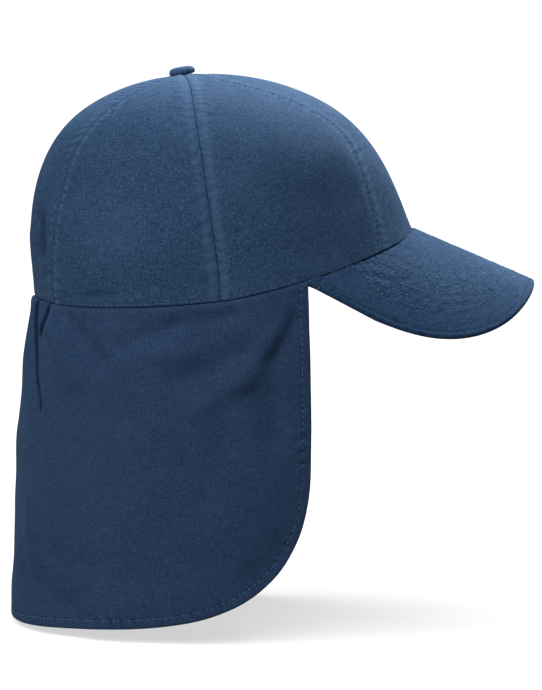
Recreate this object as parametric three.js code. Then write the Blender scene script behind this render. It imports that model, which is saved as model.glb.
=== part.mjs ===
import * as THREE from 'three';

// A legionnaire cap: a cloth crown of six panels, a stiff curved peak and a flap over the neck.
// Millimetres and degrees. X points forward over the peak, Y to the wearer's left and Z up.
// The origin is the middle of the head opening, level with the low back half of its rim.
// Angles go round the head from the front: 90 is the left side, -90 the right, 180 the back.

// Driving sizes
const head = { length: 203.6, width: 162, egg: 0.05 };
const crown = { height: 122.5, frontRise: 38.9, buttonBack: 22, topTilt: 5, wall: 1.2, puff: 0.8,
  puffSquareness: 5 };
const seam = { gap: 0.3, topHole: 3 };
const peak = { reach: 65.8, halfWidth: 75, roundLength: 87.6, roundness: 2.35, slope: 23.3,
  arch: 51.5, thickness: 3, endAngle: 64, edgeRound: 1 };
const flap = { drop: 171, frontAngle: 65.5, hemRise: 0.07, cornerWidth: 100, cornerHeight: 93,
  cornerRoundness: 3, wall: 1.1, tuck: 9, backFlare: 15.4, sideFlare: 9, backFrom: 110,
  flareCurve: 0.4 };
const button = { radius: 6.85, height: 3.6, tilt: 11, lift: 0.9, stemRadius: 2.3, stemLength: 3 };
const clearance = 0.3;   // between pieces that touch on the real cap
const tuckClearance = 0.45;   // between the crown and the cloth of the flap inside it

// Meridians of the crown, by angle from the front: how far the rim rises (share of frontRise), the
// outward lean of the cloth there in degrees, and the pull of the curve at the rim (share of the
// crown's height), at the shoulder (share of the way to the corner) and at the button (share of
// half the length).
const meridians = [
  { angle: 0, rise: 1.0, lean: -25, rimPull: 0.33, shoulder: 0.65, topPull: 0.50 },
  { angle: 30, rise: 0.81, lean: -20, rimPull: 0.45, shoulder: 0.63, topPull: 0.44 },
  { angle: 60, rise: 0.47, lean: -10, rimPull: 0.52, shoulder: 0.67, topPull: 0.36 },
  { angle: 90, rise: 0.165, lean: 0, rimPull: 0.55, shoulder: 0.73, topPull: 0.30 },
  { angle: 135, rise: 0.045, lean: 4, rimPull: 0.58, shoulder: 0.77, topPull: 0.24 },
  { angle: 180, rise: 0.062, lean: 5.5, rimPull: 0.60, shoulder: 0.81, topPull: 0.18 },
];

// Angle of the three seams on each side, by share of the way from the rim to the button
const seamAngles = [
  { share: 0, front: 34, side: 90.5, back: 151 },
  { share: 0.2, front: 33.5, side: 93, back: 149 },
  { share: 0.4, front: 31, side: 95, back: 147.5 },
  { share: 0.6, front: 41, side: 96, back: 141.5 },
  { share: 0.8, front: 61, side: 95.5, back: 131 },
  { share: 1, front: 70, side: 96, back: 128 },
];

// Panels by the seams that bound them: wearer's right seams are negative
const panels = [
  { name: 'front_panel', from: ['front', -1], to: ['front', 1], columns: 12 },
  { name: 'side_front_panel_left', from: ['front', 1], to: ['side', 1], columns: 9 },
  { name: 'side_back_panel_left', from: ['side', 1], to: ['back', 1], columns: 10 },
  { name: 'back_panel', from: ['back', 1], to: ['back', -1], columns: 14 },
  { name: 'side_back_panel_right', from: ['back', -1], to: ['side', -1], columns: 10 },
  { name: 'side_front_panel_right', from: ['side', -1], to: ['front', -1], columns: 9 },
];

// Dents of the crown, each along a line from one angle and height to another: height, half width
// and depth are shares of the crown's height, and a negative depth is a valley.
const crownFolds = [
  { angle: -161, at: 0.37, toAngle: -160, toAt: 0.22, half: 0.050, depth: -0.026 },
  { angle: -172, at: 0.30, toAngle: -168, toAt: 0.12, half: 0.045, depth: 0.006 },
  { angle: 162, at: 0.34, toAngle: 159, toAt: 0.20, half: 0.050, depth: -0.022 },
  { angle: 176, at: 0.28, toAngle: 174, toAt: 0.14, half: 0.040, depth: -0.012 },
];

// Folds of the flap, each along a line from one angle and depth to another: depth below the rim,
// half width and relief are shares of the flap's drop, and a negative relief is a valley.
const flapFolds = [
  { angle: -171, at: 0.02, toAngle: -157, toAt: 0.28, half: 0.030, depth: -0.024 },
  { angle: -157, at: 0.28, toAngle: -154, toAt: 0.42, half: 0.034, depth: -0.014 },
  { angle: -143, at: 0.02, toAngle: -128, toAt: 0.15, half: 0.030, depth: -0.015 },
  { angle: -128, at: 0.15, toAngle: -119, toAt: 0.32, half: 0.045, depth: -0.012 },
  { angle: -150, at: 0.07, toAngle: -138, toAt: 0.21, half: 0.035, depth: 0.012 },
  { angle: -120, at: 0.10, toAngle: -104, toAt: 0.04, half: 0.030, depth: -0.011 },
  { angle: -104, at: 0.04, toAngle: -86, toAt: 0.01, half: 0.025, depth: -0.009 },
  { angle: -110, at: 0.13, toAngle: -98, toAt: 0.11, half: 0.032, depth: 0.009 },
  { angle: -104, at: 0.21, toAngle: -84, toAt: 0.12, half: 0.040, depth: -0.011 },
  { angle: -96, at: 0.28, toAngle: -84, toAt: 0.20, half: 0.040, depth: 0.011 },
  { angle: -84, at: 0.20, toAngle: -72, toAt: 0.03, half: 0.035, depth: 0.013 },
  { angle: -69, at: 0.02, toAngle: -75, toAt: 0.14, half: 0.028, depth: -0.014 },
  { angle: -75, at: 0.14, toAngle: -75, toAt: 0.38, half: 0.045, depth: -0.012 },
  { angle: -86, at: 0.27, toAngle: -94, toAt: 0.57, half: 0.060, depth: -0.010 },
  { angle: -74, at: 0.72, toAngle: -80, toAt: 0.80, half: 0.050, depth: -0.012 },
  { angle: -156, at: 0.60, toAngle: -155, toAt: 0.80, half: 0.040, depth: 0.010 },
  { angle: -158, at: 0.82, toAngle: -138, toAt: 0.92, half: 0.060, depth: -0.012 },
  { angle: 180, at: 0.03, toAngle: 178, toAt: 0.34, half: 0.032, depth: -0.018 },
  { angle: 170, at: 0.04, toAngle: 167, toAt: 0.22, half: 0.030, depth: 0.010 },
  { angle: 162, at: 0.02, toAngle: 156, toAt: 0.30, half: 0.032, depth: -0.020 },
  { angle: 148, at: 0.03, toAngle: 130, toAt: 0.24, half: 0.036, depth: -0.014 },
  { angle: 152, at: 0.12, toAngle: 141, toAt: 0.30, half: 0.040, depth: 0.012 },
  { angle: 122, at: 0.08, toAngle: 92, toAt: 0.02, half: 0.030, depth: -0.010 },
  { angle: 108, at: 0.24, toAngle: 86, toAt: 0.14, half: 0.042, depth: -0.011 },
  { angle: 98, at: 0.32, toAngle: 73, toAt: 0.05, half: 0.040, depth: 0.012 },
  { angle: 71, at: 0.04, toAngle: 75, toAt: 0.36, half: 0.036, depth: -0.012 },
  { angle: 112, at: 0.50, toAngle: 104, toAt: 0.86, half: 0.070, depth: -0.012 },
  { angle: 160, at: 0.55, toAngle: 158, toAt: 0.90, half: 0.050, depth: 0.012 },
];
const foldFade = 6;   // millimetres below the rim over which the folds of the flap begin

// Outline of the button, as shares of its radius and height
const buttonProfile = [
  { out: 0.93, up: 0 },
  { out: 1, up: 0.3 },
  { out: 0.96, up: 0.66 },
  { out: 0.78, up: 0.9 },
  { out: 0.42, up: 1 },
  { out: 0, up: 1 },
];

// Numbers of rows and columns of the grids
const panelGrid = { rows: 14, crowding: 1.4 };   // crowding above 1 brings rows together at the rim
const peakGrid = { columns: 26, shares: [0, 0.3, 0.65] };
const flapGrid = { corner: 17, side: 4, back: 10, backAngle: 148, tuckRows: 2, rows: 20 };
const buttonSides = 24;

// Shares of a meridian over which the cloth turns from level at the rim, and its relief begins
const rimTurn = { normal: 0.06, reliefFrom: 0.02, reliefTo: 0.12 };

const halfLength = head.length / 2;
const halfWidth = head.width / 2;
const up = new THREE.Vector3(0, 0, 1);
const topPoint = new THREE.Vector3(-crown.buttonBack, 0, crown.height);
const radians = THREE.MathUtils.degToRad;
const lerp = THREE.MathUtils.lerp;

const wrapAngle = (angle) => THREE.MathUtils.euclideanModulo(angle + 180, 360) - 180;
const spread = (count) => Array.from({ length: count + 1 }, (_, i) => i / count);

// Smooth value of a column between the rows of a table, level at its two ends
function smoothColumn(rows, key, column, x) {
  const last = rows.length - 1;
  const slope = (i) => (i <= 0 || i >= last ? 0
    : (rows[i + 1][column] - rows[i - 1][column]) / (rows[i + 1][key] - rows[i - 1][key]));
  let i = 0;
  while (i < last - 1 && x >= rows[i + 1][key]) i += 1;
  const step = rows[i + 1][key] - rows[i][key];
  const s = THREE.MathUtils.clamp((x - rows[i][key]) / step, 0, 1);
  return (2 * s ** 3 - 3 * s ** 2 + 1) * rows[i][column] + (s ** 3 - 2 * s ** 2 + s) * step * slope(i)
    + (3 * s ** 2 - 2 * s ** 3) * rows[i + 1][column] + (s ** 3 - s ** 2) * step * slope(i + 1);
}

const meridian = (column, angle) => smoothColumn(meridians, 'angle', column, Math.abs(wrapAngle(angle)));

function rimPoint(angle) {
  const a = radians(angle);
  const x = halfLength * Math.cos(a);
  const y = halfWidth * Math.sin(a) * (1 - head.egg * Math.cos(a));
  return new THREE.Vector3(x, y, crown.frontRise * meridian('rise', angle));
}

// Level direction straight out from the oval of the rim
function outward(angle) {
  const a = radians(angle);
  return new THREE.Vector3(Math.cos(a) / halfLength, Math.sin(a) / halfWidth, 0).normalize();
}

// Relief of a table of folds: each fold is a soft ridge or valley round the line between its ends
function foldRelief(folds, angle, at, size) {
  const perDegree = radians(1) * halfLength;
  let relief = 0;
  for (const fold of folds) {
    const place = (toAngle, toAt) => new THREE.Vector2(
      wrapAngle(toAngle - fold.angle) * perDegree, (toAt - fold.at) * size);
    const along = place(fold.toAngle, fold.toAt);
    const here = place(angle, at);
    const share = THREE.MathUtils.clamp(here.dot(along) / along.lengthSq(), 0, 1);
    const distance = here.addScaledVector(along, -share).length() / (fold.half * size);
    relief += fold.depth * size * Math.exp(-distance * distance);
  }
  return relief;
}

// Smooth dome: a curve of five pulls from the rim to the button
function domePoint(angle, t) {
  const rim = rimPoint(angle);
  const lean = radians(meridian('lean', angle));
  const start = rim.clone()
    .addScaledVector(outward(angle), crown.height * meridian('rimPull', angle) * Math.sin(lean))
    .addScaledVector(up, crown.height * meridian('rimPull', angle) * Math.cos(lean));
  const shoulder = meridian('shoulder', angle);
  const corner = new THREE.Vector3(rim.x, rim.y, crown.height);
  const middle = rim.clone().lerp(topPoint, 0.5).lerp(corner, shoulder);
  const away = new THREE.Vector3(rim.x - topPoint.x, rim.y, 0).normalize();
  away.z = Math.tan(radians(crown.topTilt)) * away.x;
  const end = topPoint.clone().addScaledVector(away, halfLength * meridian('topPull', angle));
  const s = 1 - t;
  return new THREE.Vector3()
    .addScaledVector(rim, s ** 4).addScaledVector(start, 4 * t * s ** 3)
    .addScaledVector(middle, 6 * t * t * s * s).addScaledVector(end, 4 * t ** 3 * s)
    .addScaledVector(topPoint, t ** 4);
}

// Direction straight out of a surface of angle and share, level where the share is 0
function surfaceNormal(surface, angle, t) {
  const turn = 0.5;
  const rise = 0.004;
  const across = surface(angle + turn, t).sub(surface(angle - turn, t));
  const along = surface(angle, Math.min(t + rise, 1)).sub(surface(angle, Math.max(t - rise, 0)));
  return across.cross(along).normalize();
}

// The crown's own normal turns level at the rim, so that the wall ends square on the peak and flap
function crownNormal(angle, t) {
  const normal = surfaceNormal(domePoint, angle, t);
  normal.z *= THREE.MathUtils.smoothstep(t, 0, rimTurn.normal);
  return normal.normalize();
}

const seamAngle = ([name, side], t) => side * smoothColumn(seamAngles, 'share', name, t);

// Outer face of the crown at a place between two seams, puffed between them and dented by its folds
function crownFace(angle, t, across) {
  const dome = domePoint(angle, t);
  const rimFade = THREE.MathUtils.smoothstep(t, rimTurn.reliefFrom, rimTurn.reliefTo) * (1 - t);
  const puff = crown.puff * (1 - Math.abs(2 * across - 1) ** crown.puffSquareness) * rimFade;
  const relief = foldRelief(crownFolds, angle, dome.z / crown.height, crown.height) * rimFade;
  return dome.addScaledVector(crownNormal(angle, t), puff + relief);
}

// Share of a meridian at which it reaches the edge of the hole under the button
function holeShare(angle) {
  const halvings = 40;
  let low = 0.5;
  let high = 1;
  for (let i = 0; i < halvings; i += 1) {
    const middle = (low + high) / 2;
    const point = domePoint(angle, middle);
    if (Math.hypot(point.x - topPoint.x, point.y) > seam.topHole) low = middle;
    else high = middle;
  }
  return low;
}

// Closed solid between two grids of points, the outer one facing out when seen with its rows
// running anticlockwise
function solidBetween(outer, inner) {
  const positions = [];
  const put = (...points) => points.forEach((p) => positions.push(p.x, p.y, p.z));
  const quad = (a, b, c, d) => {
    put(a, b, c);
    put(a, c, d);
  };
  const last = outer.length - 1;
  const end = outer[0].length - 1;
  for (let i = 0; i < last; i += 1) {
    for (let j = 0; j < end; j += 1) {
      quad(outer[i][j], outer[i + 1][j], outer[i + 1][j + 1], outer[i][j + 1]);
      quad(inner[i][j], inner[i][j + 1], inner[i + 1][j + 1], inner[i + 1][j]);
    }
    quad(outer[i][0], inner[i][0], inner[i + 1][0], outer[i + 1][0]);
    quad(outer[i][end], outer[i + 1][end], inner[i + 1][end], inner[i][end]);
  }
  for (let j = 0; j < end; j += 1) {
    quad(outer[0][j], outer[0][j + 1], inner[0][j + 1], inner[0][j]);
    quad(outer[last][j], inner[last][j], inner[last][j + 1], outer[last][j + 1]);
  }
  const geometry = new THREE.BufferGeometry();
  geometry.setAttribute('position', new THREE.Float32BufferAttribute(positions, 3));
  geometry.computeVertexNormals();
  return geometry;
}

function clothMaterial(color) {
  return new THREE.MeshStandardMaterial({ color, roughness: 0.9, metalness: 0 });
}

function makePanel({ from, to, columns }) {
  const outer = [];
  const inner = [];
  for (const across of spread(columns)) {
    const angleAt = (t) => {
      const start = seamAngle(from, t);
      const width = THREE.MathUtils.euclideanModulo(seamAngle(to, t) - start, 360);
      const middle = domePoint(start + width / 2, t);
      const perDegree = radians(1) * Math.max(Math.hypot(middle.x - topPoint.x, middle.y), seam.topHole);
      const inset = seam.gap / 2 / perDegree;
      return lerp(start + inset, start + width - inset, across);
    };
    const top = holeShare(angleAt(1));
    const outerColumn = [];
    const innerColumn = [];
    for (const row of spread(panelGrid.rows)) {
      const t = top * row ** panelGrid.crowding;
      const face = crownFace(angleAt(t), t, across);
      outerColumn.push(face);
      innerColumn.push(face.clone().addScaledVector(crownNormal(angleAt(t), t), -crown.wall));
    }
    outer.push(outerColumn);
    inner.push(innerColumn);
  }
  return solidBetween(outer, inner);
}

// Top face of the peak: straight lines from the rim of the crown to the outer edge
function peakFace(angle, share) {
  const rim = rimPoint(angle).addScaledVector(up, -clearance);
  const turn = radians(90 * Math.abs(angle) / peak.endAngle);
  const tip = halfLength + peak.reach;
  const power = 2 / peak.roundness;
  const round = Math.max(Math.cos(turn), 0) ** power;
  const x = tip - peak.roundLength * (1 - round);
  const y = Math.sign(angle) * peak.halfWidth * Math.sin(turn) ** power;
  const ridge = crown.frontRise - Math.tan(radians(peak.slope)) * (x - halfLength);
  const edge = new THREE.Vector3(x, y, ridge - peak.arch * (y / peak.halfWidth) ** 2);
  return rim.lerp(edge, share);
}

// Direction straight out of the peak's top face, taken a little inside its edges
function peakNormal(angle, share) {
  const turn = peak.endAngle - 1;
  const step = 0.02;
  return surfaceNormal(peakFace, THREE.MathUtils.clamp(angle, -turn, turn),
    THREE.MathUtils.clamp(share, step, 1 - step)).negate();
}

function makePeak() {
  const outer = [];
  const inner = [];
  for (const across of spread(peakGrid.columns)) {
    const angle = lerp(-peak.endAngle, peak.endAngle, across);
    const length = peakFace(angle, 0).distanceTo(peakFace(angle, 1));
    const seat = outward(angle).multiplyScalar(-crown.wall);
    const outerColumn = [peakFace(angle, 0).add(seat)];
    const innerColumn = [outerColumn[0].clone().addScaledVector(peakNormal(angle, 0), -peak.thickness)];
    for (const share of [...peakGrid.shares, 1 - peak.edgeRound / length, 1]) {
      const chamfer = share === 1 ? peak.edgeRound : 0;
      const face = peakFace(angle, share);
      const normal = peakNormal(angle, share);
      outerColumn.push(face.clone().addScaledVector(normal, -chamfer));
      innerColumn.push(face.clone().addScaledVector(normal, chamfer - peak.thickness));
    }
    outer.push(outerColumn.reverse());
    inner.push(innerColumn.reverse());
  }
  return solidBetween(outer, inner);
}

// Length along the rim between two angles on the same side
function rimLength(from, to) {
  const steps = 60;
  let length = 0;
  for (let i = 0; i < steps; i += 1) {
    const a = rimPoint(lerp(from, to, i / steps));
    const b = rimPoint(lerp(from, to, (i + 1) / steps));
    length += Math.hypot(b.x - a.x, b.y - a.y);
  }
  return length;
}
const flapHalf = rimLength(flap.frontAngle, 180);

// Height of the hem, which rises a little to the front and rounds up into the front edge
function hemHeight(angle) {
  const fromFront = rimLength(flap.frontAngle, Math.abs(wrapAngle(angle)));
  const level = -flap.drop * (1 - flap.hemRise * (1 - fromFront / flapHalf));
  const cornerTop = -flap.drop * (1 - flap.hemRise) + flap.cornerHeight;
  const inCorner = Math.max(1 - fromFront / flap.cornerWidth, 0);
  const share = (1 - inCorner ** flap.cornerRoundness) ** (1 / flap.cornerRoundness);
  return lerp(cornerTop, level, share);
}

// Outer face of the flap below the rim: it flares fast at first, then hangs
function flapFace(angle, share) {
  const rim = rimPoint(angle);
  const height = lerp(rim.z, hemHeight(angle), share);
  const below = Math.max(rim.z - height - clearance, 0);
  const backShare = THREE.MathUtils.smoothstep(Math.abs(wrapAngle(angle)), flap.backFrom, 180);
  const flare = lerp(flap.sideFlare, flap.backFlare, backShare) * (below / flap.drop) ** flap.flareCurve;
  const relief = foldRelief(flapFolds, angle, -height / flap.drop, flap.drop)
    * THREE.MathUtils.smoothstep(below, 0, foldFade);
  const out = flare + relief - crown.wall - tuckClearance;
  return rim.addScaledVector(outward(angle), out).setZ(height);
}

// Outer face of the cloth tucked up inside the crown
function tuckFace(angle, share) {
  const t = share * flap.tuck / (4 * crown.height * meridian('rimPull', angle));
  return domePoint(angle, t).addScaledVector(crownNormal(angle, t), -crown.wall - tuckClearance);
}

// Angles of the flap's columns: crowded in the rounded corner and in the gathers at the back
function flapAngles() {
  const cornerAngle = flap.frontAngle + flap.cornerWidth / (radians(1) * halfLength);
  const corner = spread(flapGrid.corner).map((s) => {
    const share = 1 - Math.cos(radians(90 * s)) ** (2 / flap.cornerRoundness);
    return lerp(flap.frontAngle, cornerAngle, share);
  });
  const side = spread(flapGrid.side).slice(1).map((s) => lerp(cornerAngle, flapGrid.backAngle, s));
  const back = spread(flapGrid.back).slice(1).map((s) => lerp(flapGrid.backAngle, 180, s));
  const half = [...corner, ...side, ...back];
  return [...half, ...half.slice(0, -1).reverse().map((angle) => 360 - angle)];
}

function makeFlap() {
  const outer = [];
  const inner = [];
  for (const angle of flapAngles()) {
    const outerColumn = [];
    const innerColumn = [];
    for (const share of spread(flapGrid.rows).reverse().slice(0, -1)) {
      const face = flapFace(angle, share);
      outerColumn.push(face);
      innerColumn.push(face.clone().addScaledVector(outward(angle), -flap.wall));
    }
    for (const share of spread(flapGrid.tuckRows)) {
      const face = tuckFace(angle, share);
      outerColumn.push(face);
      innerColumn.push(face.clone().addScaledVector(outward(angle), -flap.wall));
    }
    outer.push(outerColumn);
    inner.push(innerColumn);
  }
  return solidBetween(outer, inner);
}

// Covered button: a low dome on the rivet that goes through the hole where the panels meet
function makeButton() {
  const stem = [
    new THREE.Vector2(0, -button.stemLength),
    new THREE.Vector2(button.stemRadius, -button.stemLength),
    new THREE.Vector2(button.stemRadius, 0),
  ];
  const dome = buttonProfile.map((p) => new THREE.Vector2(p.out * button.radius, p.up * button.height));
  return new THREE.LatheGeometry([...stem, ...dome], buttonSides);
}

const cap = new THREE.Group();

function addPiece(name, geometry, color) {
  const piece = new THREE.Mesh(geometry, clothMaterial(color));
  piece.name = name;
  cap.add(piece);
  return piece;
}

const colors = { crown: 0x334d6e, peak: 0x314c6b, flap: 0x283852, button: 0x344a65 };
panels.forEach((panel) => addPiece(panel.name, makePanel(panel), colors.crown));
addPiece('peak', makePeak(), colors.peak);
addPiece('neck_flap', makeFlap(), colors.flap);

const topButton = addPiece('top_button', makeButton(), colors.button);
topButton.rotation.x = Math.PI / 2;
const buttonSeat = new THREE.Group();
buttonSeat.rotation.y = -radians(button.tilt);
buttonSeat.position.copy(topPoint).addScaledVector(up, button.lift);
buttonSeat.add(topButton);
cap.add(buttonSeat);

export default cap;
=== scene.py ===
import math
import bpy
import numpy as np
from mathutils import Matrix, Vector


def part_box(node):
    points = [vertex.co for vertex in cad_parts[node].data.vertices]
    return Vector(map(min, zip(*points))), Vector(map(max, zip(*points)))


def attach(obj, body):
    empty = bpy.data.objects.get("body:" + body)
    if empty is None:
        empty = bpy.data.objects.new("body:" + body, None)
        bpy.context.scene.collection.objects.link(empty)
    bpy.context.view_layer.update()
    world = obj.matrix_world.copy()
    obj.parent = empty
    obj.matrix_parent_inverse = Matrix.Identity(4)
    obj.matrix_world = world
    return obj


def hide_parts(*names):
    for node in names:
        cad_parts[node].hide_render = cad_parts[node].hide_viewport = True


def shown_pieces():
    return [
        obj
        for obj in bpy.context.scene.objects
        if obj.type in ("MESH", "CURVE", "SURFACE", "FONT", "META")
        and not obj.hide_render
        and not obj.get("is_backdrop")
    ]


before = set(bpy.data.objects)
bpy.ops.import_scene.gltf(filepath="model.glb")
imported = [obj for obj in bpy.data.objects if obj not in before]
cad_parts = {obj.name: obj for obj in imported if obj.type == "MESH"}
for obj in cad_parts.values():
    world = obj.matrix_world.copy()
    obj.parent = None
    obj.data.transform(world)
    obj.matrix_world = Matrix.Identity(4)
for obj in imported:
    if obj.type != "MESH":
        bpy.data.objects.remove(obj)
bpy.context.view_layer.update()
scene = bpy.context.scene

# The legionnaire cap's cloth, worked out on the frame in metres: x forward over the peak,
# y to the wearer's left, z up. Angles go round the head from the front, in degrees.
mm = 0.001
clearance = 0.3 * mm   # the frame's gap between the crown and the peak

# main lengths, read from the frame
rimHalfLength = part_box("front_panel")[1].x
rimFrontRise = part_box("peak")[1].z + clearance
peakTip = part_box("peak")[1].x
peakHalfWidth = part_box("peak")[1].y
flapDrop = -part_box("neck_flap")[0].z
insideRidge = 0.3   # share of the painted highlight and painted shade that a piece's inner face shows


# the stretch from low to high times the share, added to low
def mix(low, high, share):
    return low + (high - low) * share


# 0 up to low, 1 from high on, and three times the square less twice the cube of the share between
def smoothStep(x, low, high):
    s = np.clip((x - low) / (high - low), 0, 1)
    return s * s * (3 - 2 * s)


# bell: e to the minus square of the distance from its middle over its half width
def bell(x, middle, half):
    return np.exp(-(((x - middle) / half) ** 2))


# every vector divided by its own length
def unit(v):
    return v / np.maximum(np.linalg.norm(v, axis=-1, keepdims=True), 1e-12)


# angle turned whole rounds until it lies between -180 and 180
def wrapAngle(angle):
    return (angle + 180) % 360 - 180


def angleAway(angle):   # from the front, to either side
    return np.abs(wrapAngle(angle))


# value of a table's column at x: a cubic from row to row, sloped as the rows on both sides are,
# level at the two ends
def columnAt(table, key, column, x):
    xs = np.array(table[key], float)
    ys = np.array(table[column], float)
    slopes = np.zeros(len(xs))
    slopes[1:-1] = (ys[2:] - ys[:-2]) / (xs[2:] - xs[:-2])
    i = np.clip(np.searchsorted(xs, x, side="right") - 1, 0, len(xs) - 2)
    step = xs[i + 1] - xs[i]
    s = np.clip((x - xs[i]) / step, 0, 1)
    return ((2 * s**3 - 3 * s**2 + 1) * ys[i] + (s**3 - 2 * s**2 + s) * step * slopes[i]
            + (3 * s**2 - 2 * s**3) * ys[i + 1] + (s**3 - s**2) * step * slopes[i + 1])


# sum of cosine waves in random directions, about `size` long, between -1 and 1 or so
def softNoise(u, v, size, seed, waves=14):
    rng = np.random.default_rng(seed)
    turns = rng.uniform(0, math.tau, waves)
    lengths = size * rng.uniform(0.7, 1.6, waves)
    phases = rng.uniform(0, math.tau, waves)
    total = 0
    for turn, length, phase in zip(turns, lengths, phases):
        total = total + np.cos(math.tau * (u * math.cos(turn) + v * math.sin(turn)) / length + phase)
    return total / math.sqrt(waves)


# running length along one axis of a grid of points, starting at 0
def runningLength(points, axis):
    steps = np.linalg.norm(np.diff(points, axis=axis), axis=-1)
    length = np.cumsum(steps, axis=axis)
    return np.insert(length, 0, 0, axis=axis)


# direction straight out of a grid of points: the way across crossed with the way up
def gridNormal(points):
    return unit(np.cross(np.gradient(points, axis=0), np.gradient(points, axis=1)))


# shares from 0 to 1, closer together towards both ends when crowding is above 0
def crowdedShares(count, crowding):
    s = np.linspace(0, 1, count + 1)
    return s - crowding * np.sin(math.tau * s) / math.tau


# shortest distance from every point of a grid to a line of points, and how far along it that is
def distanceToLine(points, line):
    flat = points.reshape(-1, points.shape[-1])
    starts, ends = line[:-1], line[1:]
    ways = ends - starts
    lengths = np.linalg.norm(ways, axis=1)
    before = runningLength(line, 0)
    best = np.full(len(flat), 1e9)
    along = np.zeros(len(flat))
    for chunk in np.array_split(np.arange(len(flat)), max(1, len(flat) * len(ways) // 6000000)):
        to = flat[chunk, None, :] - starts[None]
        share = np.clip((to * ways).sum(-1) / np.maximum(lengths**2, 1e-18), 0, 1)
        gap = np.linalg.norm(to - share[..., None] * ways, axis=-1)
        pick = gap.argmin(1)
        best[chunk] = gap[np.arange(len(chunk)), pick]
        along[chunk] = before[pick] + share[np.arange(len(chunk)), pick] * lengths[pick]
    return best.reshape(points.shape[:-1]), along.reshape(points.shape[:-1])


# meshes
def makeMesh(name, vertices, quads, uv=None, values=None):
    mesh = bpy.data.meshes.new(name)
    vertices = np.asarray(vertices, np.float32).reshape(-1, 3)
    quads = np.asarray(quads, np.int32).reshape(-1, 4)
    mesh.vertices.add(len(vertices))
    mesh.vertices.foreach_set("co", vertices.ravel())
    mesh.loops.add(quads.size)
    mesh.loops.foreach_set("vertex_index", quads.ravel())
    mesh.polygons.add(len(quads))
    mesh.polygons.foreach_set("loop_start", np.arange(0, quads.size, 4, dtype=np.int32))
    mesh.update(calc_edges=True)
    mesh.polygons.foreach_set("use_smooth", np.ones(len(quads), bool))
    if uv is not None:
        layer = mesh.uv_layers.new(name="cloth")
        layer.data.foreach_set("uv", np.asarray(uv, np.float32)[quads.ravel()].ravel())
    for key, value in (values or {}).items():
        layer = mesh.attributes.new(key, "FLOAT", "POINT")
        layer.data.foreach_set("value", np.asarray(value, np.float32).ravel())
    mesh.validate()
    piece = bpy.data.objects.new(name, mesh)
    scene.collection.objects.link(piece)
    return piece


# quads of a grid of vertex numbers, one way round or the other
def gridQuads(grid, turned=False):
    quads = np.stack([grid[:-1, :-1], grid[1:, :-1], grid[1:, 1:], grid[:-1, 1:]], -1).reshape(-1, 4)
    return quads[:, [0, 3, 2, 1]] if turned else quads


# closed wall between an outer and an inner grid: both faces and the four edges between them
def wallQuads(columns, rows):
    outer = np.arange(columns * rows).reshape(columns, rows)
    inner = outer + columns * rows
    first, last = (np.stack([outer[k], inner[k]]) for k in (0, -1))
    low, high = (np.stack([outer[:, k], inner[:, k]]) for k in (0, -1))
    return np.concatenate([gridQuads(outer), gridQuads(inner, True), gridQuads(first, True), gridQuads(last),
                           gridQuads(low), gridQuads(high, True)])


# cloth between an outer and an inner grid, with its place on the flat cloth as UV
def clothPiece(name, outer, inner, uv, ridge, material, slot, replaces):
    columns, rows = outer.shape[:2]
    piece = makeMesh(
        name, np.concatenate([outer.reshape(-1, 3), inner.reshape(-1, 3)]), wallQuads(columns, rows),
        uv=np.tile(uv.reshape(-1, 2), (2, 1)),
        values={"ridge": np.concatenate([ridge.ravel(), insideRidge * ridge.ravel()])})
    finishPiece(piece, material, replaces)
    return piece


# material, body and the solid of the frame that the piece stands in for
def finishPiece(piece, material, replaces=None):
    piece.data.materials.append(material)
    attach(piece, "root")
    if replaces:
        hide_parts(replaces)


# an empty shader group with its named inputs and outputs
def newGroup(name, inputs, outputs):
    group = bpy.data.node_groups.new(name, "ShaderNodeTree")
    for way, sockets in (("INPUT", inputs), ("OUTPUT", outputs)):
        for socketName, kind in sockets.items():
            group.interface.new_socket(socketName, in_out=way, socket_type="NodeSocket" + kind)
    start = group.nodes.new("NodeGroupInput")
    end = group.nodes.new("NodeGroupOutput")
    return group, start.outputs, end.inputs


# puts sources into a node's inputs: a socket is linked, anything else is set as its value
def feed(tree, node, **sources):
    for key, source in sources.items():
        socket = node.inputs[int(key[1:])] if key[1:].isdigit() else node.inputs[key]
        if isinstance(source, bpy.types.NodeSocket):
            tree.links.new(source, socket)
        else:
            socket.default_value = source
    return node


def mathNode(tree, operation, a, b=0.0):
    node = tree.nodes.new("ShaderNodeMath")
    node.operation = operation
    return feed(tree, node, i0=a, i1=b).outputs[0]


def times(tree, a, b):
    return mathNode(tree, "MULTIPLY", a, b)


def plus(tree, a, b):
    return mathNode(tree, "ADD", a, b)


def mixColors(tree, share, a, b):
    node = tree.nodes.new("ShaderNodeMix")
    node.data_type = "RGBA"
    return feed(tree, node, i0=share, i6=a, i7=b).outputs[2]


def noiseNode(tree, place, scale, detail=2.0, roughness=0.5):
    node = tree.nodes.new("ShaderNodeTexNoise")
    feed(tree, node, Vector=place, Scale=scale, Detail=detail, Roughness=roughness)
    return node.outputs["Fac"]


def spreadNode(tree, value, low, high, toLow=0.0, toHigh=1.0):
    node = tree.nodes.new("ShaderNodeMapRange")
    node.interpolation_type = "SMOOTHSTEP"
    return feed(tree, node, i0=value, i1=low, i2=high, i3=toLow, i4=toHigh).outputs[0]


def stretched(tree, place, stretch):
    node = tree.nodes.new("ShaderNodeMapping")
    node.vector_type = "POINT"
    return feed(tree, node, Vector=place, Scale=stretch).outputs[0]


# slants of the weave's ribs and crossing threads, and how strong its parts are beside the ribs
weave = dict(ribSlant=0.8, crossSlant=1.6, crossing=0.45, wander=9.0, wanderScale=160.0, fuzz=1.6,
             fuzzScale=2600.0)


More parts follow.
